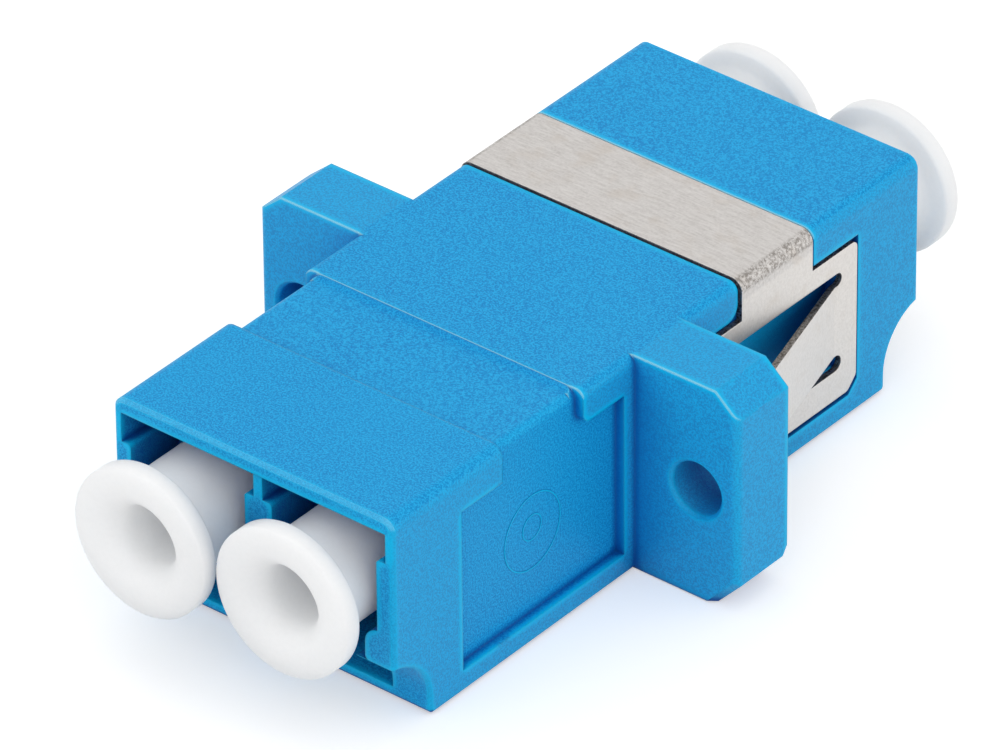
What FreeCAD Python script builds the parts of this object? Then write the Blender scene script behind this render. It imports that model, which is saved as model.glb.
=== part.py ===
import FreeCAD, Part
import math
import os
from FreeCAD import Vector

# Duplex LC fibre adapter with a screw flange and a spring clip, for a panel cut-out of the simplex SC size.
# Frame, in millimetres: X across the two channels, Y from the front ports to the rear ports, Z up.
# The origin is the middle of the two screw holes, on the flange's rear face, which seats on the panel.

# Channels
PITCH = 6.25
AXIS_Z = 1.1
CHANNELS = {"left": -PITCH / 2, "right": PITCH / 2}

# Flange
FLANGE_HALF_WIDTH = 11.05
FLANGE_HALF_HEIGHT = 4.6
FLANGE_THICKNESS = 2.9
FLANGE_CORNER_X = 1.03
FLANGE_UPPER_CORNER_Z = 0.9
FLANGE_LOWER_CORNER_Z = 1.1
FLANGE_EDGE_RADIUS = 0.3
FLANGE_CORNER_EASE = 0.25
SCREW_SPACING = 18.3
SCREW_HOLE_RADIUS = 1.1
SCREW_RIM = 0.12

# Body lengths along Y
BASE_Z = -FLANGE_HALF_HEIGHT
PARTING_Y = -FLANGE_THICKNESS / 2
FRONT_LENGTH = 14.95
REAR_LENGTH = 15.08

# Front half, outside
FRONT_HALF_WIDTH = 6.4
FRONT_TOP = 4.7
FRONT_BLOCK_END = -10.33
WAIST_INSET = 0.4
WAIST_TOP = 4.43
WAIST_EDGE_RADIUS = 0.3
COLLAR_FRONT = -5.81
COLLAR_TOP = FLANGE_HALF_HEIGHT
COLLAR_EDGE_RADIUS = 0.4
COLLAR_ROOT_RADIUS = 0.34
COLLAR_ROOT_RISE = 0.14
LIP_Z = 3.2
LIP_CORNER_RADIUS = 0.4
PANEL_FRONT = -12.63
PANEL_TOP = 3.16
RIB_TOP = -3.66
RIB_WIDTH = 0.61
EDGE_RADIUS = 0.5
END_CHAMFER = 0.12
BOTTOM_CHAMFER = 0.12

# Rear half, outside
REAR_HALF_WIDTH = 6.5
REAR_TOP = 4.65
COLLAR_REAR = 3.02
REAR_LIP_CORNER_RADIUS = 0.6

# Lower set-back at both ends
SETBACK = 1.95
SETBACK_RADIUS = 2.25
SETBACK_CENTRE_Z = BASE_Z + 0.73
SETBACK_FOOT_RADIUS = 0.25
SETBACK_CHAMFER = 0.1

# Ports
PORT_HALF_WIDTH = 2.5
PORT_TOP = 4.1
LEDGE_Z = 2.87
LEDGE_HALF_WIDTH = 2.92
LEDGE_RADIUS = 0.15
ENTRY_DEPTH = 2.6
MIDWALL_SETBACK = 0.3
HOOK_TOP = -0.18
HOOK_TIP_HALF_GAP = 1.93
HOOK_TIP_TOP = -0.85
HOOK_TIP_BOTTOM = -1.45
HOOK_BOTTOM = -1.62
CAVITY_HALF = 2.32
CAVITY_FLOOR = 2.55
SLOT_HALF_WIDTH = 1.54
SLOT_FLOOR = BASE_Z + 0.5
CATCH_WALL = 1.0
LATCH_HALF_WIDTH = 2.45
LATCH_END = 9.6

# Sleeve holders and sleeves
HOLDER_RADIUS = 1.5
HOLDER_REACH = 4.2
SLEEVE_BORE_RADIUS = 0.85
SLEEVE_BORE_REACH = 3.5
HOLDER_MOUTH_RADIUS = 0.7
HOLDER_LEAD_IN = 0.3
SLEEVE_RADIUS = 0.8
SLEEVE_INNER_RADIUS = 0.625
SLEEVE_LENGTH = 6.8
SLEEVE_SLIT = 0.25

# Spring clip
SHEET = 0.25
CLIP_BEND_RADIUS = 0.5
CLIP_FRONT = 3.14
CLIP_REAR = 7.28
FLANK_FRONT = 0.15
FLANK_REAR = 9.93
FLANK_TOP = 2.93
FLANK_BOTTOM = -3.45
FLANK_CORNER = 0.5
FLANK_CORNER_RADIUS = 0.3
SEAT_GAP = 0.05
SEAT_FRONT_GAP = 0.12
SEAT_HIGH_GAP = 0.2
SEAT_DEPTH = SHEET + 0.02
TAB_ROOT = 8.6
TAB_END = 1.7
TAB_TOP = 1.5
TAB_BOTTOM = -1.53
TAB_ANGLE = 15.7
WINDOW_FRONT = 0.9
WINDOW_REAR = 9.02
UPPER_SLOT_TOP = 2.06
LOWER_SLOT_BOTTOM = -2.2
TAB_POCKET_DEPTH = 0.5

# Dust caps
CAP_TUBE_RADIUS = 2.1
CAP_HEAD_RADIUS = 3.0
CAP_PROTRUSION = 2.68
CAP_HEAD_THICKNESS = 0.88
CAP_BORE_RADIUS = 1.2
CAP_BORE_DEPTH = 6.5
CAP_MOUTH_RADIUS = 1.15
CAP_CROWN_DROP = 0.2
CAP_FLARE_RADIUS = 0.45
CAP_INSERTION = 11.8
CAP_SOCKET_RADIUS = 1.6
CAP_SOCKET_DEPTH = 5.5
CAP_SEATING = {"front_left": 0, "front_right": 0.33, "rear_left": -0.35, "rear_right": -0.35}


def box(x_range, y_range, z_range):
    """Axis-aligned box from three (low, high) pairs."""
    size = [high - low for low, high in (x_range, y_range, z_range)]
    return Part.makeBox(*size, Vector(x_range[0], y_range[0], z_range[0]))


def arc(start, middle, end):
    return Part.Arc(start, middle, end).toShape()


def line(start, end):
    return Part.LineSegment(start, end).toShape()


def prism(points, direction):
    """Solid swept along a vector from a closed polygon."""
    wire = Part.makePolygon(points + [points[0]])
    return Part.Face(wire).extrude(direction)


def swept(edges, direction):
    """Solid swept along a vector from a closed chain of edges."""
    return Part.Face(Part.Wire(edges)).extrude(direction)


def rounded_bar(half_width, top, y_range, radius):
    """Bar standing on the base, its two long top edges rounded and the bottom ones eased."""
    y_low, y_high = y_range
    side = half_width - radius
    crown = top - radius
    shift = radius * math.sqrt(0.5)
    foot = half_width - BOTTOM_CHAMFER
    ankle = BASE_Z + BOTTOM_CHAMFER
    corners = [
        Vector(-side, y_low, top),
        Vector(-half_width, y_low, crown),
        Vector(-half_width, y_low, ankle),
        Vector(-foot, y_low, BASE_Z),
        Vector(foot, y_low, BASE_Z),
        Vector(half_width, y_low, ankle),
        Vector(half_width, y_low, crown),
        Vector(side, y_low, top),
    ]
    edges = [line(a, b) for a, b in zip(corners[1:], corners[2:-1])]
    edges.append(arc(corners[0], Vector(-side - shift, y_low, crown + shift), corners[1]))
    edges.append(arc(corners[6], Vector(side + shift, y_low, crown + shift), corners[7]))
    edges.append(line(corners[7], corners[0]))
    return swept(Part.__sortEdges__(edges), Vector(0, y_high - y_low, 0))


def port_block(half_width, top, end_y, inner_y):
    """Bar from an end face to a place inside, chamfered round the end face."""
    block = rounded_bar(half_width, top, (min(end_y, inner_y), max(end_y, inner_y)), EDGE_RADIUS)
    end_edges = [
        edge
        for edge in block.Edges
        if all(abs(vertex.Y - end_y) < 1e-6 for vertex in edge.Vertexes)
        and edge.BoundBox.ZMax > BASE_Z + 0.2
    ]
    return block.makeChamfer(END_CHAMFER, end_edges)


def ease_setback(body):
    """Break the curved edges where the set-back meets the flanks."""
    curved = [
        edge
        for edge in body.Edges
        if not edge.Degenerated
        and isinstance(edge.Curve, Part.Circle)
        and abs(edge.Curve.Radius - SETBACK_RADIUS) < 1e-6
        and abs(edge.CenterOfMass.x) > FRONT_HALF_WIDTH - 0.1
    ]
    return body.makeChamfer(SETBACK_CHAMFER, curved)


def both_sides(shape):
    """The shape and its mirror image in the plane X = 0, as a list."""
    return [shape, shape.mirror(Vector(0, 0, 0), Vector(1, 0, 0))]


def to_rear(shape):
    """Mirror image in the parting plane, from the front half to the rear half."""
    return shape.mirror(Vector(0, PARTING_Y, 0), Vector(0, 1, 0))


def flange_plate():
    """Flange slab with cut corners, eased lower corners, rounded front uprights and screw holes."""
    inner_x = FLANGE_HALF_WIDTH - FLANGE_CORNER_X
    upper_z = FLANGE_HALF_HEIGHT - FLANGE_UPPER_CORNER_Z
    lower_z = FLANGE_HALF_HEIGHT - FLANGE_LOWER_CORNER_Z
    outline = [
        Vector(inner_x, 0, -FLANGE_HALF_HEIGHT),
        Vector(FLANGE_HALF_WIDTH, 0, -lower_z),
        Vector(FLANGE_HALF_WIDTH, 0, upper_z),
        Vector(inner_x, 0, FLANGE_HALF_HEIGHT),
        Vector(-inner_x, 0, FLANGE_HALF_HEIGHT),
        Vector(-FLANGE_HALF_WIDTH, 0, upper_z),
        Vector(-FLANGE_HALF_WIDTH, 0, -lower_z),
        Vector(-inner_x, 0, -FLANGE_HALF_HEIGHT),
    ]
    slab = prism(outline, Vector(0, -FLANGE_THICKNESS, 0))
    lower_corners = [
        edge
        for edge in slab.Edges
        if edge.BoundBox.YLength < 0.1 and 0.1 < edge.BoundBox.ZLength < 2 and edge.BoundBox.ZMax < 0
    ]
    slab = slab.makeChamfer(FLANGE_CORNER_EASE, lower_corners)
    front_uprights = [
        edge
        for edge in slab.Edges
        if edge.BoundBox.ZLength > 2 and edge.BoundBox.YMax < -FLANGE_THICKNESS + 0.1
    ]
    slab = slab.makeFillet(FLANGE_EDGE_RADIUS, front_uprights)
    for x in (-SCREW_SPACING / 2, SCREW_SPACING / 2):
        slab = slab.cut(screw_hole(x))
    return slab


def screw_hole(x):
    """Through hole of one ear, eased at its front mouth."""
    front = Vector(x, -FLANGE_THICKNESS, 0)
    along = Vector(0, 1, 0)
    hole = Part.makeCylinder(SCREW_HOLE_RADIUS, FLANGE_THICKNESS, front, along)
    rim = Part.makeCone(SCREW_HOLE_RADIUS + SCREW_RIM, SCREW_HOLE_RADIUS, SCREW_RIM, front, along)
    return hole.fuse(rim)


def setback_cutter(end_y):
    """Prism that takes the lower corner at an end face away in a hollow quarter round."""
    centre_y = end_y + SETBACK - SETBACK_RADIUS
    wall_y = end_y + SETBACK
    slope = math.acos((end_y - centre_y) / SETBACK_RADIUS)
    bow = SETBACK_FOOT_RADIUS * (1 - math.sqrt(0.5))

    def on_arc(angle):
        across = SETBACK_RADIUS * math.cos(angle)
        return Vector(-8, centre_y + across, SETBACK_CENTRE_Z + SETBACK_RADIUS * math.sin(angle))

    corners = [
        on_arc(slope),
        Vector(-8, end_y - 1, on_arc(slope).z),
        Vector(-8, end_y - 1, BASE_Z - 1),
        Vector(-8, wall_y + SETBACK_FOOT_RADIUS, BASE_Z - 1),
        Vector(-8, wall_y + SETBACK_FOOT_RADIUS, BASE_Z),
        Vector(-8, wall_y, BASE_Z + SETBACK_FOOT_RADIUS),
        on_arc(0),
    ]
    edges = [line(a, b) for a, b in zip(corners[:4], corners[1:5])]
    edges.append(arc(corners[4], Vector(-8, wall_y + bow, BASE_Z + bow), corners[5]))
    edges.append(line(corners[5], corners[6]))
    edges.append(arc(corners[6], on_arc(slope / 2), corners[0]))
    return swept(edges, Vector(16, 0, 0))


def entry_cutter(centre_x, end_y):
    """Mouth of one port: a wide upper zone, two side ledges and the two latch hooks."""
    y = end_y - 1
    tip_radius = HOOK_TIP_BOTTOM - HOOK_BOTTOM

    def point(x, z):
        return Vector(centre_x + x, y, z)

    edges = [line(point(-LEDGE_HALF_WIDTH, PORT_TOP), point(LEDGE_HALF_WIDTH, PORT_TOP))]
    for side in (1, -1):
        ledge_outer = point(side * LEDGE_HALF_WIDTH, LEDGE_Z)
        ledge_end = point(side * (PORT_HALF_WIDTH + LEDGE_RADIUS), LEDGE_Z)
        ledge_bow = point(side * (PORT_HALF_WIDTH + 0.3 * LEDGE_RADIUS), LEDGE_Z - 0.3 * LEDGE_RADIUS)
        wall_top = point(side * PORT_HALF_WIDTH, LEDGE_Z - LEDGE_RADIUS)
        hook_root = point(side * PORT_HALF_WIDTH, HOOK_TOP)
        tip_top = point(side * HOOK_TIP_HALF_GAP, HOOK_TIP_TOP)
        tip_low = point(side * HOOK_TIP_HALF_GAP, HOOK_TIP_BOTTOM)
        foot = point(side * (HOOK_TIP_HALF_GAP + tip_radius), HOOK_BOTTOM)
        swell = point(side * (HOOK_TIP_HALF_GAP + 0.17), HOOK_TIP_TOP + 0.45)
        turn = point(side * (HOOK_TIP_HALF_GAP + 0.3 * tip_radius), HOOK_BOTTOM + 0.3 * tip_radius)
        edges += [
            line(point(side * LEDGE_HALF_WIDTH, PORT_TOP), ledge_outer),
            line(ledge_outer, ledge_end),
            arc(ledge_end, ledge_bow, wall_top),
            line(wall_top, hook_root),
            arc(hook_root, swell, tip_top),
            line(tip_top, tip_low),
            arc(tip_low, turn, foot),
        ]
    edges.append(
        line(
            point(HOOK_TIP_HALF_GAP + tip_radius, HOOK_BOTTOM),
            point(-HOOK_TIP_HALF_GAP - tip_radius, HOOK_BOTTOM),
        )
    )
    return Part.Face(Part.Wire(Part.__sortEdges__(edges))).extrude(Vector(0, ENTRY_DEPTH + 1, 0))


def port_cutters(centre_x, end_y):
    """Everything that is open inside one port."""
    catch_y = end_y + SETBACK + CATCH_WALL
    cavity = box(
        (centre_x - CAVITY_HALF, centre_x + CAVITY_HALF),
        (end_y + ENTRY_DEPTH, PARTING_Y - CAVITY_FLOOR),
        (AXIS_Z - CAVITY_HALF, AXIS_Z + CAVITY_HALF),
    )
    slot = box(
        (centre_x - SLOT_HALF_WIDTH, centre_x + SLOT_HALF_WIDTH),
        (end_y - 1, catch_y),
        (SLOT_FLOOR, HOOK_BOTTOM),
    )
    latch_room = box(
        (centre_x - LATCH_HALF_WIDTH, centre_x + LATCH_HALF_WIDTH),
        (catch_y, end_y + LATCH_END),
        (SLOT_FLOOR, AXIS_Z - CAVITY_HALF),
    )
    return [entry_cutter(centre_x, end_y), cavity, slot, latch_room]


def sleeve_holder(centre_x):
    """Boss of one front channel, before its bore is cut."""
    start = Vector(centre_x, PARTING_Y - HOLDER_REACH, AXIS_Z)
    return Part.makeCylinder(HOLDER_RADIUS, HOLDER_REACH, start, Vector(0, 1, 0))


def sleeve_bore(centre_x):
    """Chamber for half of the split sleeve, with the smaller mouth that keeps it in."""
    chamber = Part.makeCylinder(
        SLEEVE_BORE_RADIUS,
        SLEEVE_BORE_REACH,
        Vector(centre_x, PARTING_Y - SLEEVE_BORE_REACH, AXIS_Z),
        Vector(0, 1, 0),
    )
    mouth = Part.makeCylinder(
        HOLDER_MOUTH_RADIUS,
        HOLDER_REACH + 1,
        Vector(centre_x, PARTING_Y - HOLDER_REACH - 1, AXIS_Z),
        Vector(0, 1, 0),
    )
    lead_in = Part.makeCone(
        HOLDER_MOUTH_RADIUS + HOLDER_LEAD_IN / 2,
        HOLDER_MOUTH_RADIUS,
        HOLDER_LEAD_IN,
        Vector(centre_x, PARTING_Y - HOLDER_REACH, AXIS_Z),
        Vector(0, 1, 0),
    )
    return [chamber, mouth, lead_in]


def hollow_out(body, length, place):
    """Cut both ports and fit the sleeve holders.

    Shapes are made for the front half of a moulding this long; place puts them where the half is.
    """
    end_y = PARTING_Y - length
    holders = []
    bores = []
    for centre_x in CHANNELS.values():
        for cutter in port_cutters(centre_x, end_y):
            body = body.cut(place(cutter))
        holders.append(place(sleeve_holder(centre_x)))
        bores += [place(bore) for bore in sleeve_bore(centre_x)]
    midwall_gap = box(
        (-PITCH / 2, PITCH / 2),
        (end_y - 1, end_y + MIDWALL_SETBACK),
        (HOOK_BOTTOM, PORT_TOP),
    )
    body = body.cut(place(midwall_gap))
    body = body.multiFuse(holders)
    for bore in bores:
        body = body.cut(bore)
    return body.removeSplitter()


def side_panel_cutter():
    """Shallow recess in the right flank of the front half, open at the top along the waist."""
    x = FRONT_HALF_WIDTH - WAIST_INSET
    rib_face = -FLANGE_THICKNESS - RIB_WIDTH
    above = FRONT_TOP + 1
    bow = LIP_CORNER_RADIUS * (1 - math.sqrt(0.5))
    lip_end = Vector(x, COLLAR_FRONT + LIP_CORNER_RADIUS, LIP_Z)
    lip_front = Vector(x, COLLAR_FRONT, LIP_Z + LIP_CORNER_RADIUS)
    corners = [
        lip_front,
        Vector(x, COLLAR_FRONT, above),
        Vector(x, FRONT_BLOCK_END, above),
        Vector(x, FRONT_BLOCK_END, PANEL_TOP),
        Vector(x, PANEL_FRONT, PANEL_TOP),
        Vector(x, PANEL_FRONT, RIB_TOP),
        Vector(x, rib_face, RIB_TOP),
        Vector(x, rib_face, LIP_Z),
        lip_end,
    ]
    edges = [line(a, b) for a, b in zip(corners, corners[1:])]
    edges.append(arc(lip_end, Vector(x, COLLAR_FRONT + bow, LIP_Z + bow), lip_front))
    return swept(edges, Vector(2, 0, 0))


def collar_root():
    """Hollow ramp from the waist's top up to the collar."""
    waist = FRONT_HALF_WIDTH - WAIST_INSET
    reach = math.sqrt(COLLAR_ROOT_RADIUS**2 - (COLLAR_ROOT_RADIUS - COLLAR_ROOT_RISE) ** 2)
    y_range = (COLLAR_FRONT - reach, COLLAR_FRONT)
    ramp_top = WAIST_TOP + COLLAR_ROOT_RISE
    bar = rounded_bar(waist, ramp_top, y_range, WAIST_EDGE_RADIUS + COLLAR_ROOT_RISE)
    hollow = Part.makeCylinder(
        COLLAR_ROOT_RADIUS,
        16,
        Vector(-8, y_range[0], WAIST_TOP + COLLAR_ROOT_RADIUS),
        Vector(1, 0, 0),
    )
    return bar.cut(hollow)


def housing_front():
    """Front moulding: port block, narrower waist, collar and the front half of the ears."""
    end_y = PARTING_Y - FRONT_LENGTH
    block = port_block(FRONT_HALF_WIDTH, FRONT_TOP, end_y, FRONT_BLOCK_END)
    base = rounded_bar(FRONT_HALF_WIDTH, WAIST_TOP, (FRONT_BLOCK_END, COLLAR_FRONT), WAIST_EDGE_RADIUS)
    collar = rounded_bar(FRONT_HALF_WIDTH, COLLAR_TOP, (COLLAR_FRONT, PARTING_Y), COLLAR_EDGE_RADIUS)
    body = block.multiFuse([base, collar])
    for panel in both_sides(side_panel_cutter()):
        body = body.cut(panel)
    waist = rounded_bar(
        FRONT_HALF_WIDTH - WAIST_INSET,
        WAIST_TOP,
        (FRONT_BLOCK_END, COLLAR_FRONT),
        WAIST_EDGE_RADIUS,
    )
    rounding = box((-8, 8), (FRONT_BLOCK_END, COLLAR_FRONT), (RIB_TOP + 1, FRONT_TOP + 1)).cut(waist)
    body = body.cut(rounding)
    ears = flange_plate().common(
        box((-12, 12), (-FLANGE_THICKNESS, PARTING_Y), (BASE_Z - 1, FLANGE_HALF_HEIGHT + 1))
    )
    body = body.multiFuse([ears, collar_root()])
    body = ease_setback(body.cut(setback_cutter(end_y)))
    return hollow_out(body, FRONT_LENGTH, lambda shape: shape)


def flank_outline(x, side_gap, front_gap, high_gap):
    """Corners round one flank plate, or round its seat when gaps are given; the band joins it on top."""
    front = FLANK_FRONT - front_gap
    rear = FLANK_REAR + side_gap
    top = FLANK_TOP + high_gap
    bottom = FLANK_BOTTOM - high_gap
    shoulder = REAR_TOP - CLIP_BEND_RADIUS
    return [
        Vector(x, front, top),
        Vector(x, CLIP_FRONT - front_gap, top),
        Vector(x, CLIP_FRONT - front_gap, shoulder),
        Vector(x, CLIP_REAR + side_gap, shoulder),
        Vector(x, CLIP_REAR + side_gap, top),
        Vector(x, rear, top),
        Vector(x, rear, bottom + FLANK_CORNER),
        Vector(x, rear - FLANK_CORNER, bottom),
        Vector(x, front, bottom),
    ]


def clip_arch(outer_half_width, outer_top, thickness, y_range):
    """Arch of even thickness over the top and down to where the flank plates start."""
    y_low, y_high = y_range
    outer = rounded_bar(outer_half_width, outer_top, y_range, CLIP_BEND_RADIUS)
    inner = rounded_bar(
        outer_half_width - thickness, outer_top - thickness, y_range, CLIP_BEND_RADIUS - thickness
    )
    window = box(
        (-outer_half_width - 1, outer_half_width + 1),
        (y_low, y_high),
        (REAR_TOP - CLIP_BEND_RADIUS, outer_top + 1),
    )
    return outer.cut(inner).common(window)


def tab_window():
    """Opening in the right flank plate that frees the tab, with round ends at its root."""
    height_up = UPPER_SLOT_TOP - TAB_TOP
    height_low = TAB_BOTTOM - LOWER_SLOT_BOTTOM
    x_range = (REAR_HALF_WIDTH - 1, REAR_HALF_WIDTH + 1)
    main = box(x_range, (WINDOW_FRONT, TAB_ROOT), (LOWER_SLOT_BOTTOM, UPPER_SLOT_TOP))
    parts = []
    for centre_z, height in (
        (TAB_TOP + height_up / 2, height_up),
        (LOWER_SLOT_BOTTOM + height_low / 2, height_low),
    ):
        end_y = WINDOW_REAR - height / 2
        parts.append(box(x_range, (WINDOW_FRONT, end_y), (centre_z - height / 2, centre_z + height / 2)))
        parts.append(
            Part.makeCylinder(height / 2, 2, Vector(x_range[0], end_y, centre_z), Vector(1, 0, 0))
        )
    return main.multiFuse(parts)


def clip_tab():
    """Right tab: a flat tongue, bent outwards at its root and pointing at the flange."""
    angle = math.radians(TAB_ANGLE)
    length = (TAB_ROOT - TAB_END) / math.cos(angle)
    tongue = box(
        (REAR_HALF_WIDTH - SHEET, REAR_HALF_WIDTH), (TAB_ROOT - length, TAB_ROOT), (TAB_BOTTOM, TAB_TOP)
    )
    tongue = tongue.makeFillet(
        0.4,
        [
            edge
            for edge in tongue.Edges
            if all(abs(vertex.Y - (TAB_ROOT - length)) < 1e-6 for vertex in edge.Vertexes)
            and edge.BoundBox.XLength > 0.1
        ],
    )
    tongue.rotate(Vector(REAR_HALF_WIDTH, TAB_ROOT, 0), Vector(0, 0, 1), TAB_ANGLE)
    knuckle = Part.makeCylinder(
        SHEET, TAB_TOP - TAB_BOTTOM, Vector(REAR_HALF_WIDTH, TAB_ROOT, TAB_BOTTOM), Vector(0, 0, 1)
    )
    inside = box(
        (REAR_HALF_WIDTH - SHEET, REAR_HALF_WIDTH),
        (TAB_ROOT - SHEET, TAB_ROOT + SHEET),
        (TAB_BOTTOM, TAB_TOP),
    )
    return tongue.fuse(knuckle.common(inside))


def spring_clip():
    """Folded strap: top band, two rounded bends and two flank plates with a bent-out tab each."""
    strap = clip_arch(REAR_HALF_WIDTH, REAR_TOP, SHEET, (CLIP_FRONT, CLIP_REAR))
    flank = prism(flank_outline(REAR_HALF_WIDTH - SHEET, 0, 0, 0), Vector(SHEET, 0, 0))
    corners = [
        edge
        for edge in flank.Edges
        if edge.BoundBox.XLength > 0.1
        and edge.BoundBox.YMin > CLIP_REAR + 1
    ]
    flank = flank.makeFillet(FLANK_CORNER_RADIUS, corners)
    flank = flank.cut(tab_window()).fuse(clip_tab())
    return strap.multiFuse(both_sides(flank)).removeSplitter()


def clip_seat():
    """Shallow recess in the rear moulding that the clip lies in, flush with the outside."""
    floor_x = REAR_HALF_WIDTH - SEAT_DEPTH
    band_range = (CLIP_FRONT - SEAT_FRONT_GAP, CLIP_REAR + SEAT_GAP)
    inner = rounded_bar(floor_x, REAR_TOP - SEAT_DEPTH, band_range, CLIP_BEND_RADIUS - SHEET)
    band = box((-8, 8), band_range, (REAR_TOP - CLIP_BEND_RADIUS, REAR_TOP + 1)).cut(inner)
    flank = prism(flank_outline(floor_x, SEAT_GAP, SEAT_FRONT_GAP, SEAT_HIGH_GAP), Vector(2, 0, 0))
    lip_corner = [
        edge
        for edge in flank.Edges
        if edge.BoundBox.XLength > 1
        and abs(edge.CenterOfMass.y - band_range[0]) < 1e-6
        and abs(edge.CenterOfMass.z - FLANK_TOP - SEAT_HIGH_GAP) < 1e-6
    ]
    flank = flank.makeFillet(REAR_LIP_CORNER_RADIUS, lip_corner)
    pocket = box(
        (floor_x - TAB_POCKET_DEPTH, REAR_HALF_WIDTH + 1),
        (WINDOW_FRONT, WINDOW_REAR),
        (LOWER_SLOT_BOTTOM, UPPER_SLOT_TOP),
    )
    return [band] + both_sides(flank) + both_sides(pocket)


def housing_rear():
    """Rear moulding: rear half of the ears, collar, seat for the clip and port block."""
    collar = rounded_bar(FRONT_HALF_WIDTH, COLLAR_TOP, (PARTING_Y, COLLAR_REAR), COLLAR_EDGE_RADIUS)
    block = port_block(REAR_HALF_WIDTH, REAR_TOP, PARTING_Y + REAR_LENGTH, COLLAR_REAR)
    body = collar.fuse(block)
    for cutter in clip_seat():
        body = body.cut(cutter)
    ears = flange_plate().common(
        box((-12, 12), (PARTING_Y, 0), (BASE_Z - 1, FLANGE_HALF_HEIGHT + 1))
    )
    body = body.fuse(ears)
    body = ease_setback(body.cut(to_rear(setback_cutter(PARTING_Y - REAR_LENGTH))))
    return hollow_out(body, REAR_LENGTH, to_rear)


def alignment_sleeve(centre_x):
    """Split sleeve, lying on the floor of its chamber with the slit up."""
    centre_z = AXIS_Z - (SLEEVE_BORE_RADIUS - SLEEVE_RADIUS)
    start = Vector(centre_x, PARTING_Y - SLEEVE_LENGTH / 2, centre_z)
    tube = Part.makeCylinder(SLEEVE_RADIUS, SLEEVE_LENGTH, start, Vector(0, 1, 0))
    hole = Part.makeCylinder(SLEEVE_INNER_RADIUS, SLEEVE_LENGTH, start, Vector(0, 1, 0))
    slit = box(
        (centre_x - SLEEVE_SLIT / 2, centre_x + SLEEVE_SLIT / 2),
        (start.y, start.y + SLEEVE_LENGTH),
        (centre_z, centre_z + SLEEVE_RADIUS + 1),
    )
    return tube.cut(hole).cut(slit)


def bend(centre, across, along, start, end, chords):
    """Corner points of a rounding in chords; angles in degrees, 0 outwards and 90 inwards."""
    angles = [math.radians(start + (end - start) * step / chords) for step in range(chords + 1)]
    return [(centre[0] + across * math.cos(a), centre[1] + along * math.sin(a)) for a in angles]


def dust_cap(centre_x, length, seating):
    """Dust cap in a front port: head with a flared hole, tube and a socket at the tip."""
    end_y = PARTING_Y - length
    crown_y = end_y - CAP_PROTRUSION + seating
    back_y = crown_y + CAP_HEAD_THICKNESS
    tip = end_y + CAP_INSERTION + seating
    crown_radius = CAP_BORE_RADIUS + CAP_MOUTH_RADIUS
    mouth_centre = (crown_radius, crown_y + CAP_MOUTH_RADIUS)
    brow_centre = (crown_radius, crown_y + CAP_CROWN_DROP)
    flare_centre = (CAP_TUBE_RADIUS + CAP_FLARE_RADIUS, back_y + CAP_FLARE_RADIUS)
    outline = [(0, crown_y + CAP_BORE_DEPTH), (CAP_BORE_RADIUS, crown_y + CAP_BORE_DEPTH)]
    outline += bend(mouth_centre, CAP_MOUTH_RADIUS, CAP_MOUTH_RADIUS, 180, 270, 3)
    outline += bend(brow_centre, CAP_HEAD_RADIUS - crown_radius, CAP_CROWN_DROP, -90, 0, 2)[1:]
    outline.append((CAP_HEAD_RADIUS, back_y))
    outline += bend(flare_centre, CAP_FLARE_RADIUS, CAP_FLARE_RADIUS, -90, -180, 1)
    outline += [
        (CAP_TUBE_RADIUS, tip),
        (CAP_SOCKET_RADIUS, tip),
        (CAP_SOCKET_RADIUS, tip - CAP_SOCKET_DEPTH),
        (0, tip - CAP_SOCKET_DEPTH),
    ]
    corners = [Vector(centre_x + radius, y, AXIS_Z) for radius, y in outline]
    profile = Part.Face(Part.makePolygon(corners + [corners[0]]))
    return profile.revolve(Vector(centre_x, 0, AXIS_Z), Vector(0, 1, 0), 360)


def main():
    os.makedirs("parts", exist_ok=True)
    nodes = {
        "housing_front": housing_front(),
        "housing_rear": housing_rear(),
        "spring_clip": spring_clip(),
    }
    for side, centre_x in CHANNELS.items():
        nodes["sleeve_" + side] = alignment_sleeve(centre_x)
        front_cap = dust_cap(centre_x, FRONT_LENGTH, CAP_SEATING["front_" + side])
        rear_cap = dust_cap(centre_x, REAR_LENGTH, CAP_SEATING["rear_" + side])
        nodes["dust_cap_front_" + side] = front_cap
        nodes["dust_cap_rear_" + side] = to_rear(rear_cap)
    for name, shape in nodes.items():
        shape.exportStep("parts/" + name + ".step")
        print(name, shape.isValid(), len(shape.Solids), round(shape.Volume, 3), len(shape.Faces))


main()
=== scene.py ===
import math

import bpy
from mathutils import Matrix, Vector


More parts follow.
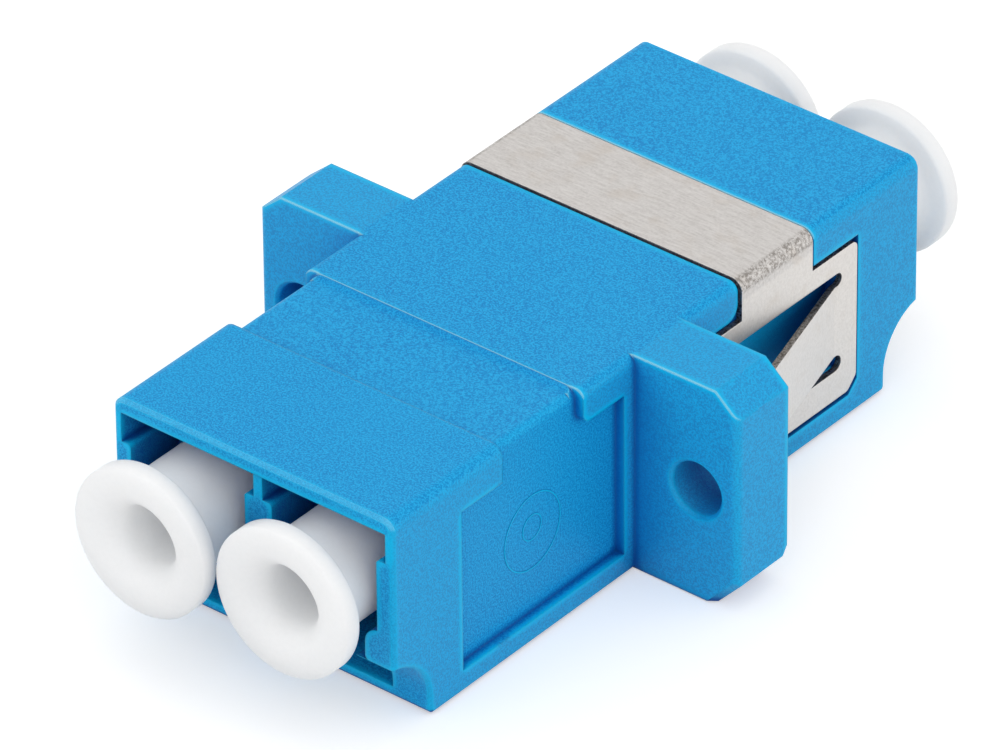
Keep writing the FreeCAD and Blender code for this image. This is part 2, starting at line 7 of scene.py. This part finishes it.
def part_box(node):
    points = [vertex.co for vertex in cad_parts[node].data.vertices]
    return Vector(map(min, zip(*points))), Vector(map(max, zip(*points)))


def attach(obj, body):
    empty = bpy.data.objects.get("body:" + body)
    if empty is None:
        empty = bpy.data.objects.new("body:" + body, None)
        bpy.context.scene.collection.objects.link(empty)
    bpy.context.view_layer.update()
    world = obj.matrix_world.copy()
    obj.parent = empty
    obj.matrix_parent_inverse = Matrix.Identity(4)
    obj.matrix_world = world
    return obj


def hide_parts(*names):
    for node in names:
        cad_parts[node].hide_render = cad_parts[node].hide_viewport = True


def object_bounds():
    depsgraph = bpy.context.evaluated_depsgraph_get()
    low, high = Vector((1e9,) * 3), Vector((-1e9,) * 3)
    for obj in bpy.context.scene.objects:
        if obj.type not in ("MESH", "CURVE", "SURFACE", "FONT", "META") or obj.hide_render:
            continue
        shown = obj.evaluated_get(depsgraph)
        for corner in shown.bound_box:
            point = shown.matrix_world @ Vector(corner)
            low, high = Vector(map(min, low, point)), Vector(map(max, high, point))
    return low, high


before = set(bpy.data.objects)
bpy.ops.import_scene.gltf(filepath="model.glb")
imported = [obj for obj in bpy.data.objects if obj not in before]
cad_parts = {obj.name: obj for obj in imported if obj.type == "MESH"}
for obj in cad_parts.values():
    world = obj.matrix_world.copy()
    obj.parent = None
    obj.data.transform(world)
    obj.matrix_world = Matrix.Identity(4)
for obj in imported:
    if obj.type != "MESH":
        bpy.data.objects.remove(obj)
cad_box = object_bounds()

MM = 0.001

# The mouldings, in millimetres: where they meet, and the places where the painted edge light fades,
# the flanks' painted sheen begins and the mould mark sits.
PARTING_Y = -1.45
FRONT_BLOCK_END = -10.33
FLANK_X = 6.28
PANEL_X = 6.0

# The spring clip's strap: where its bends begin.
BEND_X = 6.05
BEND_Z = 4.02

# The dust caps, in millimetres.
CAP_LENGTH = 14.48
CAP_HEAD = 0.88
CAP_HEAD_RADIUS = 3.0
CAP_TUBE_RADIUS = 2.1
CAP_HOLE_RADIUS = 1.2
CAP_HOLE_DEPTH = 6.5
CAP_MOUTH = 1.15
CAP_CROWN_DROP = 0.2
CAP_HEAD_EDGE = 0.12
CAP_FLARE = 0.45
CAP_TUBE_EDGE = 0.15
CAP_SOCKET_RADIUS = 1.6
CAP_SOCKET_DEPTH = 5.5
CAP_SOCKET_EDGE = 0.1
CAP_BODIES = ("front_left", "front_right", "rear_left", "rear_right")

# The mould mark's two rings: radius, and centre along Y and Z, in millimetres.
MOULD_RINGS = {
    "mould_ring_outer": (1.56, (-8.24, -0.25)),
    "mould_ring_inner": (0.52, (-8.26, -0.05)),
}
RING_WIDTH = 0.07
RING_HEIGHT = 0.02
RING_ROOT = 0.02

TURNED_SIDES = 96
SMOOTH_BELOW = math.radians(40)

# Position and width in millimetres, and power in watts.
LAMPS = {
    "left_front": ((-200, -300, 180), 320, 0.20),
    "right_front": ((230, -260, 230), 260, 0.19),
    "right_back": ((300, 160, 140), 280, 0.14),
    "overhead": ((0, 0, 400), 250, 0.09),
}
WORLD_LIGHT = 0.78
FLOOR_GAP = 0.05
FLOOR_GLOW = 0.4


class Signal:
    """A node's output that can be used in ordinary arithmetic."""

    def __init__(self, finish, socket):
        self.finish = finish
        self.socket = socket

    def math(self, operation, *values):
        inputs = dict(enumerate((self,) + values))
        return self.finish.node("ShaderNodeMath", {"operation": operation}, inputs)

    def __add__(self, other):
        return self.math("ADD", other)

    def __radd__(self, other):
        return self.math("ADD", other)

    def __sub__(self, other):
        return self.math("SUBTRACT", other)

    def __rsub__(self, other):
        return self.finish.node("ShaderNodeMath", {"operation": "SUBTRACT"}, {0: other, 1: self})

    def __mul__(self, other):
        return self.math("MULTIPLY", other)

    def __rmul__(self, other):
        return self.math("MULTIPLY", other)

    def __abs__(self):
        return self.math("ABSOLUTE")

    def above(self, low, high):
        """0 up to low, 1 from high on, smooth in between."""
        settings = {"interpolation_type": "SMOOTHSTEP"}
        inputs = {"Value": self, "From Min": low, "From Max": high}
        return self.finish.node("ShaderNodeMapRange", settings, inputs)

    def below(self, low, high):
        """1 up to low, 0 from high on."""
        return 1 - self.above(low, high)


class Finish:
    """One procedural material on a Principled shader."""

    def __init__(self, name):
        self.material = bpy.data.materials.new(name)
        self.material.use_nodes = True
        self.tree = self.material.node_tree
        self.shader = self.tree.nodes["Principled BSDF"]

    def node(self, kind, settings, inputs, output=0):
        """A new node with its settings made first, then its sockets' values or links."""
        made = self.tree.nodes.new(kind)
        for key, value in settings.items():
            setattr(made, key, value)
        for key, value in inputs.items():
            self.feed(made.inputs[key], value)
        return Signal(self, made.outputs[output])

    def feed(self, socket, value):
        if isinstance(value, Signal):
            self.tree.links.new(value.socket, socket)
        elif isinstance(value, tuple) and len(value) == 3 and socket.type == "RGBA":
            socket.default_value = (*value, 1)
        else:
            socket.default_value = value

    def place(self):
        """Position on the piece in millimetres."""
        coordinates = self.node("ShaderNodeTexCoord", {}, {}, "Object")
        inputs = {0: coordinates, "Scale": 1 / MM}
        return self.node("ShaderNodeVectorMath", {"operation": "SCALE"}, inputs)

    def axes(self, vector):
        return [self.node("ShaderNodeSeparateXYZ", {}, {0: vector}, axis) for axis in "XYZ"]

    def stretched(self, vector, factors):
        return self.node("ShaderNodeVectorMath", {"operation": "MULTIPLY"}, {0: vector, 1: factors})

    def noise(self, vector, scale, detail, roughness=0.5):
        inputs = {"Vector": vector, "Scale": scale, "Detail": detail, "Roughness": roughness}
        return self.node("ShaderNodeTexNoise", {}, inputs)

    def blend(self, factor, first, second):
        inputs = {"Factor": factor, "A": first, "B": second}
        return self.node("ShaderNodeMix", {"data_type": "RGBA"}, inputs, "Result")

    def layered(self, colour, *layers):
        """The colour under layers, each with its cover and its own colour."""
        for cover, tint in layers:
            colour = self.blend(cover, colour, tint)
        return colour

    def steer(self, factor, direction):
        """The given direction, or the plain face's own where the factor is 1."""
        plain = self.node("ShaderNodeNewGeometry", {}, {}, "Normal")
        inputs = {"Factor": factor, 4: direction, 5: plain}
        return self.node("ShaderNodeMix", {"data_type": "VECTOR"}, inputs, 1)

    def convex(self, reach_mm):
        """1 on outer edges, falling to 0 further in than the reach."""
        return self.closeness(reach_mm, {"inside": True, "only_local": True})

    def sheltered(self, reach_mm, alone=False):
        """Up to 1 in inner corners and gaps, 0 in the open; alone leaves out other pieces."""
        return self.closeness(reach_mm, {"only_local": alone})

    def closeness(self, reach_mm, settings):
        inputs = {"Distance": reach_mm * MM}
        settings = {"samples": 8, **settings}
        return 1 - self.node("ShaderNodeAmbientOcclusion", settings, inputs, "AO")

    def rounded(self, radius_mm):
        """The surface's direction with its edges eased to this radius."""
        return self.node("ShaderNodeBevel", {"samples": 6}, {"Radius": radius_mm * MM})

    def bump(self, height, strength, distance_mm, direction):
        inputs = {
            "Height": height,
            "Strength": strength,
            "Distance": distance_mm * MM,
            "Normal": direction,
        }
        return self.node("ShaderNodeBump", {}, inputs)

    def wear(self, **sockets):
        """Set the shader's sockets; an underscore stands for a space in a socket's name."""
        for name, value in sockets.items():
            title = name.replace("_", " ").title().replace("Ior", "IOR")
            self.feed(self.shader.inputs[title], value)
        return self.material


def blue_moulding(name):
    """Blue moulded plastic: fine eroded grain, painted highlights on the edges, painted shade in
    hollows.
    """
    finish = Finish(name)
    place = finish.place()
    x, y, z = finish.axes(place)
    grain = finish.noise(place, 13.0, 2.0, 0.8)
    clouds = finish.noise(finish.stretched(place, (0.5, 0.3, 0.5)), 0.4, 2.0)

    # The halves' joint stays crisp and free of painted edge light and shade, and the painted edge
    # light fades where the front block ends.
    joint = abs(y - PARTING_Y).below(0.15, 0.4)
    block_end = abs(y - FRONT_BLOCK_END).below(0.2, 0.5)
    away_from_joint = 1 - joint

    eased = finish.rounded(0.15)
    towards = finish.axes(eased)
    forwards = -1 * towards[1]
    # Painted highlight: outer edges are painted paler cyan, in place of the light the rounded edges
    # would reflect and let through.
    painted_edge_light = finish.convex(0.33).above(0.03, 0.35) * away_from_joint * (1 - block_end * 0.85)
    rim = finish.convex(0.3).above(0.12, 0.5) * away_from_joint
    # Painted highlight: high edges that face front and up are painted near white, where a lamp
    # would glint on them.
    front_edge_highlight = rim * forwards.above(0.05, 0.3) * towards[2].above(0.15, 0.35) * z.above(2.8, 3.4)
    # Painted shade: inner corners and the foot of steps are painted dark blue.
    corner = finish.sheltered(0.4).above(0.06, 0.45) * away_from_joint
    # Painted shade: the insides of deep holes and gaps are painted dark blue, and made rougher.
    hollow_shade = finish.sheltered(2.6).above(0.5, 0.85)
    # Painted shade: front-facing faces hemmed in by higher parts of the body, such as the ear
    # fronts, are painted darker.
    recess_shade = finish.sheltered(4.0, alone=True).above(0.1, 0.5) * forwards.above(0.4, 0.8)
    # Painted sheen: the outermost side faces are painted greyer, for the pale reflection they show.
    flank_sheen = abs(x).above(FLANK_X, FLANK_X + 0.06)

    base = finish.blend(clouds.above(0.3, 0.7), (0.0004, 0.215, 0.57), (0.001, 0.245, 0.60))
    # Over the base: painted sheen on the flanks, real grain, painted edge light, painted shade in
    # corners, recesses and hollows, and a painted highlight.
    colour = finish.layered(
        base,
        (flank_sheen * 0.8, (0.02, 0.29, 0.62)),
        (grain.above(0.4, 0.6), (0.015, 0.42, 0.80)),
        (painted_edge_light * 0.85, (0.0, 0.52, 0.89)),
        (corner * 0.8, (0.0, 0.08, 0.38)),
        (recess_shade * 0.7, (0.0, 0.13, 0.46)),
        (hollow_shade * 0.9, (0.0, 0.05, 0.27)),
        (front_edge_highlight * 0.85, (0.40, 0.82, 0.96)),
    )
    return finish.wear(
        base_color=colour,
        roughness=0.34 + grain * 0.16 - rim * 0.12 + hollow_shade * 0.3,
        specular_ior_level=0.14,
        normal=finish.bump(grain, 0.45, 0.012, finish.steer(joint, eased)),
    )


def spring_sheet(name):
    """Nickel-plated spring steel: rolling lines along the strap, crazed bends, dark cut edges."""
    finish = Finish(name)
    place = finish.place()
    x, y, z = finish.axes(place)
    facing = finish.axes(finish.node("ShaderNodeTexCoord", {}, {}, "Normal"))
    across, along = abs(facing[0]), abs(facing[1])
    rolled = finish.noise(finish.stretched(place, (0.6, 4.0, 3.0)), 2.6, 4.0, 0.65)
    grain = finish.noise(place, 9.0, 3.0, 0.75)
    warm_patches = finish.noise(place, 0.9, 3.0)
    crazing = finish.noise(place, 8.0, 3.0, 0.8).above(0.4, 0.62)

    bend = z.above(BEND_Z, BEND_Z + 0.18) * abs(x).above(BEND_X, BEND_X + 0.15)
    # Painted light: the side plates are painted paler than the strap's top, for how the light falls
    # on them.
    side_plates_lit = z.below(3.7, 3.9)
    side_cut = z.below(3.6, 3.8) * across.below(0.4, 0.6)
    cut = (along.above(0.5, 0.7) * 0.7).math("MAXIMUM", side_cut)
    rim = finish.convex(0.07)

    base = finish.blend(rolled.above(0.25, 0.75), (0.50, 0.475, 0.455), (0.65, 0.625, 0.605))
    colour = finish.layered(
        base,
        (grain.above(0.35, 0.7) * 0.4, (0.75, 0.725, 0.70)),
        (side_plates_lit * 0.35, (0.82, 0.785, 0.74)),
        # Random warm brown patches over the sheet.
        (warm_patches.above(0.5, 0.75) * 0.3, (0.52, 0.45, 0.38)),
        (bend * crazing * 0.75, (0.17, 0.15, 0.13)),
        (rim.above(0.2, 0.7) * 0.5, (0.88, 0.87, 0.85)),
        (cut * (0.55 + 0.45 * crazing), (0.07, 0.058, 0.048)),
    )
    relief = grain * 0.6 + rolled * 0.4
    return finish.wear(
        base_color=colour,
        metallic=0.85,
        roughness=0.32 + grain * 0.12 + bend * 0.12,
        normal=finish.bump(relief, 0.3, 0.012, finish.rounded(0.05)),
    )


def soft_white(name):
    """Soft white polyethylene that lets light through."""
    finish = Finish(name)
    place = finish.place()
    grain = finish.noise(place, 6.0, 3.0)
    clouds = finish.noise(place, 0.7, 2.0)
    base = finish.blend(clouds, (0.98, 0.98, 0.982), (0.99, 0.99, 0.992))
    return finish.wear(
        base_color=finish.layered(base, (grain.above(0.4, 0.7) * 0.3, (0.93, 0.935, 0.94))),
        roughness=0.34 + grain * 0.14,
        subsurface_weight=1.0,
        subsurface_radius=(1.0, 1.0, 1.0),
        subsurface_scale=1.5 * MM,
        normal=finish.bump(grain, 0.12, 0.015, finish.rounded(0.05)),
    )


def ground_zirconia(name):
    """Ground white ceramic with lapping lines round the sleeve."""
    finish = Finish(name)
    lapping = finish.noise(finish.stretched(finish.place(), (1.0, 12.0, 1.0)), 3.0, 2.0)
    return finish.wear(
        base_color=finish.blend(lapping, (0.84, 0.83, 0.78), (0.9, 0.89, 0.85)),
        roughness=0.12 + lapping * 0.08,
        normal=finish.bump(lapping, 0.2, 0.01, finish.rounded(0.03)),
    )


def dress(material, *kinds):
    """Give the material to every solid whose name starts with one of these."""
    for node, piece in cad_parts.items():
        if node.startswith(kinds):
            piece.data.materials.clear()
            piece.data.materials.append(material)


def start_ring(radius, centre, turn):
    """Open edit mode on a new ring of edges; sizes and places in millimetres."""
    bpy.ops.object.select_all(action="DESELECT")
    bpy.ops.mesh.primitive_circle_add(
        vertices=TURNED_SIDES, radius=radius * MM, location=Vector(centre) * MM, rotation=turn
    )
    bpy.ops.object.transform_apply(location=True, rotation=True, scale=True)
    bpy.ops.object.mode_set(mode="EDIT")
    bpy.ops.mesh.select_all(action="SELECT")


def extrude(x, y, z):
    """Pull new faces out of the selected edges; distances in metres."""
    bpy.ops.mesh.extrude_edges_move(TRANSFORM_OT_translate={"value": (x, y, z)})


def close_ring():
    """Turn the open piece's faces outwards and leave edit mode."""
    bpy.ops.mesh.select_all(action="SELECT")
    bpy.ops.mesh.normals_make_consistent(inside=False)
    bpy.ops.object.mode_set(mode="OBJECT")
    return bpy.context.object


def rounding(centre, across, along, start, end, steps):
    """Points of a rounded corner; angles in degrees, 0 outwards and 90 into the port."""
    angles = [math.radians(start + (end - start) * step / steps) for step in range(steps + 1)]
    return [(centre[0] + across * math.cos(a), centre[1] + along * math.sin(a)) for a in angles]


def cap_outline():
    """Radius and depth of the cap's rings, from the floor of its hole to that of its socket."""
    crest = CAP_HOLE_RADIUS + CAP_MOUTH
    brow = CAP_HEAD_RADIUS - crest
    head_edge = (CAP_HEAD_RADIUS - CAP_HEAD_EDGE, CAP_HEAD - CAP_HEAD_EDGE)
    neck = (CAP_TUBE_RADIUS + CAP_FLARE, CAP_HEAD + CAP_FLARE)
    tube_edge = (CAP_TUBE_RADIUS - CAP_TUBE_EDGE, CAP_LENGTH - CAP_TUBE_EDGE)
    socket_edge = (CAP_SOCKET_RADIUS + CAP_SOCKET_EDGE, CAP_LENGTH - CAP_SOCKET_EDGE)
    rings = [(CAP_HOLE_RADIUS, CAP_HOLE_DEPTH)]
    rings += rounding((crest, CAP_MOUTH), CAP_MOUTH, CAP_MOUTH, 180, 270, 12)
    rings += rounding((crest, CAP_CROWN_DROP), brow, CAP_CROWN_DROP, -90, 0, 10)[1:]
    rings += rounding(head_edge, CAP_HEAD_EDGE, CAP_HEAD_EDGE, 0, 90, 4)
    rings += rounding(neck, CAP_FLARE, CAP_FLARE, -90, -180, 8)
    rings += rounding(tube_edge, CAP_TUBE_EDGE, CAP_TUBE_EDGE, 0, 90, 4)
    rings += rounding(socket_edge, CAP_SOCKET_EDGE, CAP_SOCKET_EDGE, 90, 180, 3)
    rings.append((CAP_SOCKET_RADIUS, CAP_LENGTH - CAP_SOCKET_DEPTH))
    return rings


def turned_cap():
    """A dust cap at the origin: the crown of its head at depth 0, the tube towards the back."""
    rings = cap_outline()
    radius, depth = rings[0]
    start_ring(radius, (0, depth, 0), (math.pi / 2, 0, 0))
    bpy.ops.mesh.edge_face_add()
    for next_radius, next_depth in rings[1:]:
        bpy.ops.mesh.select_mode(type="EDGE")
        extrude(0, (next_depth - depth) * MM, 0)
        grow = next_radius / radius
        bpy.ops.transform.resize(value=(grow, 1, grow), center_override=(0, next_depth * MM, 0))
        radius, depth = next_radius, next_depth
    bpy.ops.mesh.edge_face_add()
    bpy.ops.mesh.select_all(action="SELECT")
    bpy.ops.mesh.remove_doubles(threshold=0.001 * MM)
    cap = close_ring()
    bpy.ops.object.shade_smooth_by_angle(angle=SMOOTH_BELOW)
    return cap


def fit_caps(material):
    """One turned cap for each port, in place of the plain solids."""
    pattern = turned_cap()
    pattern.data.materials.append(material)
    for body in CAP_BODIES:
        node = "dust_cap_" + body
        low, high = [Vector(corner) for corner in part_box(node)]
        middle = (low + high) / 2
        cap = pattern.copy()
        cap.data = pattern.data.copy()
        cap.name = "turned_cap_" + body
        bpy.context.collection.objects.link(cap)
        at_rear = body.startswith("rear")
        crown = Vector((middle.x, high.y if at_rear else low.y, middle.z))
        turn = Matrix.Rotation(math.pi if at_rear else 0, 4, "Z")
        cap.data.transform(Matrix.Translation(crown) @ turn)
        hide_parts(node)
        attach(cap, "cap_" + body)
    bpy.data.objects.remove(pattern)


def mould_ring(name, radius, centre_yz, material):
    """Faint raised ring that a mould insert leaves on the recessed right side panel."""
    inner = radius - RING_WIDTH / 2
    grow = (radius + RING_WIDTH / 2) / inner
    rise = (RING_HEIGHT + RING_ROOT) * MM
    start_ring(inner, (PANEL_X - RING_ROOT, *centre_yz), (0, math.pi / 2, 0))
    extrude(rise, 0, 0)
    extrude(0, 0, 0)
    middle = Vector((PANEL_X, *centre_yz)) * MM
    bpy.ops.transform.resize(value=(1, grow, grow), center_override=middle)
    extrude(-rise, 0, 0)
    ring = close_ring()
    ring.name = name
    soften = ring.modifiers.new("soften", "BEVEL")
    soften.width = 0.4 * RING_HEIGHT * MM
    soften.segments = 3
    bpy.ops.object.modifier_apply(modifier="soften")
    bpy.ops.object.shade_smooth_by_angle(angle=SMOOTH_BELOW)
    ring.data.materials.append(material)
    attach(ring, "adapter")


def viewpoint():
    """The view over the front right corner, far off with a long lens."""
    azimuth = math.radians(39.371)
    elevation = math.radians(34.225)
    roll = math.radians(-0.508)
    target = Vector((0.0, -0.9, -0.1)) * MM
    distance = 411.407 * MM
    shift_left = 1.109 * MM
    shift_up = 0.089 * MM
    forward = Vector(
        (
            -math.sin(azimuth) * math.cos(elevation),
            math.cos(azimuth) * math.cos(elevation),
            -math.sin(elevation),
        )
    )
    right = forward.cross(Vector((0, 0, 1))).normalized()
    up = right.cross(forward)
    side = math.cos(roll) * right + math.sin(roll) * up
    top = -math.sin(roll) * right + math.cos(roll) * up
    eye = target - distance * forward - shift_left * side + shift_up * top
    camera = bpy.data.objects.new("camera", bpy.data.cameras.new("camera"))
    camera.data.lens = 410.3
    camera.data.sensor_width = 36
    camera.data.clip_start = 0.01
    turn = Matrix((side, top, -forward)).transposed().to_4x4()
    camera.matrix_world = Matrix.Translation(eye) @ turn
    bpy.context.collection.objects.link(camera)
    bpy.context.scene.camera = camera


def soft_lamp(name, position_mm, width_mm, power):
    """A square lamp that faces the part."""
    lamp = bpy.data.objects.new(name, bpy.data.lights.new(name, "AREA"))
    lamp.data.shape = "SQUARE"
    lamp.data.size = width_mm * MM
    lamp.data.energy = power
    lamp.location = Vector(position_mm) * MM
    lamp.rotation_euler = (-lamp.location).to_track_quat("-Z", "Y").to_euler()
    bpy.context.collection.objects.link(lamp)


def seen_directly(tree):
    """1 for rays that should meet the white background: seen, mirrored or let through."""
    path = tree.nodes.new("ShaderNodeLightPath")
    total = path.outputs["Is Camera Ray"]
    for name in ("Is Glossy Ray", "Is Transmission Ray"):
        add = tree.nodes.new("ShaderNodeMath")
        add.operation = "MAXIMUM"
        tree.links.new(total, add.inputs[0])
        tree.links.new(path.outputs[name], add.inputs[1])
        total = add.outputs[0]
    return total


def white_floor():
    """Pale ground just under the part; it keeps the shadow and is lifted to white where seen."""
    level = cad_box[0][2] - FLOOR_GAP * MM
    bpy.ops.object.select_all(action="DESELECT")
    bpy.ops.mesh.primitive_plane_add(size=3.0, location=(0, 0, level))
    floor = bpy.context.object
    floor.name = "floor"
    floor.data.transform(floor.matrix_world)
    floor.matrix_world = Matrix()
    finish = Finish("pale_floor")
    glow = Signal(finish, seen_directly(finish.tree)) * FLOOR_GLOW
    floor.data.materials.append(
        finish.wear(
            base_color=(0.8, 0.8, 0.8),
            roughness=0.9,
            specular_ior_level=0.1,
            emission_color=(1, 1, 1),
            emission_strength=glow,
        )
    )


def surroundings(light_level):
    """An even white world, plain white where it is seen and dimmer as a light."""
    world = bpy.data.worlds.new("surroundings")
    bpy.context.scene.world = world
    world.use_nodes = True
    tree = world.node_tree
    background = tree.nodes["Background"]
    background.inputs["Color"].default_value = (1, 1, 1, 1)
    strength = tree.nodes.new("ShaderNodeMapRange")
    strength.inputs["To Min"].default_value = light_level
    strength.inputs["To Max"].default_value = 1.0
    tree.links.new(seen_directly(tree), strength.inputs["Value"])
    tree.links.new(strength.outputs[0], background.inputs["Strength"])


blue = blue_moulding("blue_moulding")
sheet = spring_sheet("spring_sheet")
white = soft_white("soft_white")
zirconia = ground_zirconia("ground_zirconia")
dress(blue, "housing")
dress(sheet, "spring")
dress(white, "dust_cap")
dress(zirconia, "sleeve")
fit_caps(white)
for ring_name, (ring_radius, ring_centre) in MOULD_RINGS.items():
    mould_ring(ring_name, ring_radius, ring_centre, blue)

viewpoint()
for lamp_name, (lamp_position, lamp_width, lamp_power) in LAMPS.items():
    soft_lamp(lamp_name, lamp_position, lamp_width, lamp_power)
white_floor()
surroundings(WORLD_LIGHT)
bpy.context.scene.view_settings.view_transform = "Standard"
